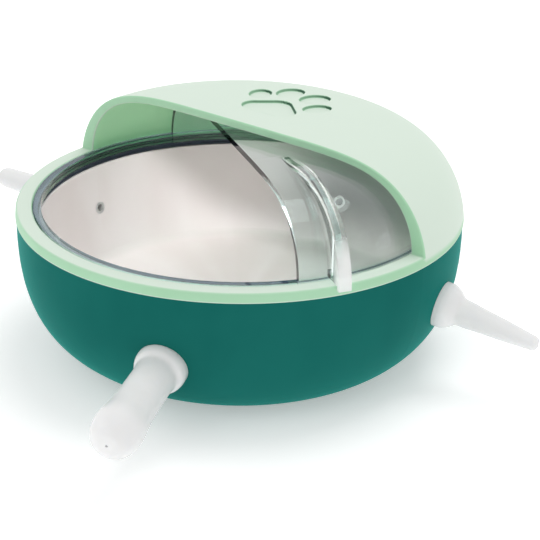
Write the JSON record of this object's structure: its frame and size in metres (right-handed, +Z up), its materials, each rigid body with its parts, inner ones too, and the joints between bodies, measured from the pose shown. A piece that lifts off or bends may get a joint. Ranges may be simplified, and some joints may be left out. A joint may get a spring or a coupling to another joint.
{
  "type": "puppy milk feeding bowl",
  "caption": "Round milk feeder with a fixed half hood, a clear half dome that turns under it, and soft nipples round the bowl.",
  "frame": {"origin": "centre of the flat base, at the level it stands on", "axes": "+Z up, along the axis the visor turns about; the hood is on the +Y side and the open half faces -Y"},
  "size_m": [0.2617, 0.2538, 0.093],
  "materials": {
    "shell_green": "satin moulded plastic, dark green",
    "liner_steel": "satin drawn sheet",
    "pad_grey": "matt soft rubber",
    "seal_dark": "matt soft rubber",
    "retainer_dark": "smooth moulded plastic",
    "cover_mint": "satin moulded plastic, mint green",
    "visor_clear": "polished clear plastic",
    "silicone_white": "translucent milky silicone"
  },
  "bodies": {
    "base": {"outer_shell": "shell_green", "inner_bowl": "liner_steel", "base_pad": "pad_grey", "rim_seal": "seal_dark", "nipple_front": "silicone_white", "nipple_right": "silicone_white", "nipple_back": "silicone_white", "nipple_left": "silicone_white"},
    "cover": {"top_cover": "cover_mint", "visor_retainer": "retainer_dark"},
    "visor": {"visor": "visor_clear"}
  },
  "joints": [
    {"name": "cover_lift", "type": "slide", "parent": "base", "child": "cover", "axis": [0, 0, 1], "range_m": [0, 0.06]},
    {"name": "visor_turn", "type": "hinge", "parent": "cover", "child": "visor", "pos_m": [0, 0, 0.0592], "axis": [0, 0, 1], "range_deg": [-150, 15]}
  ]
}
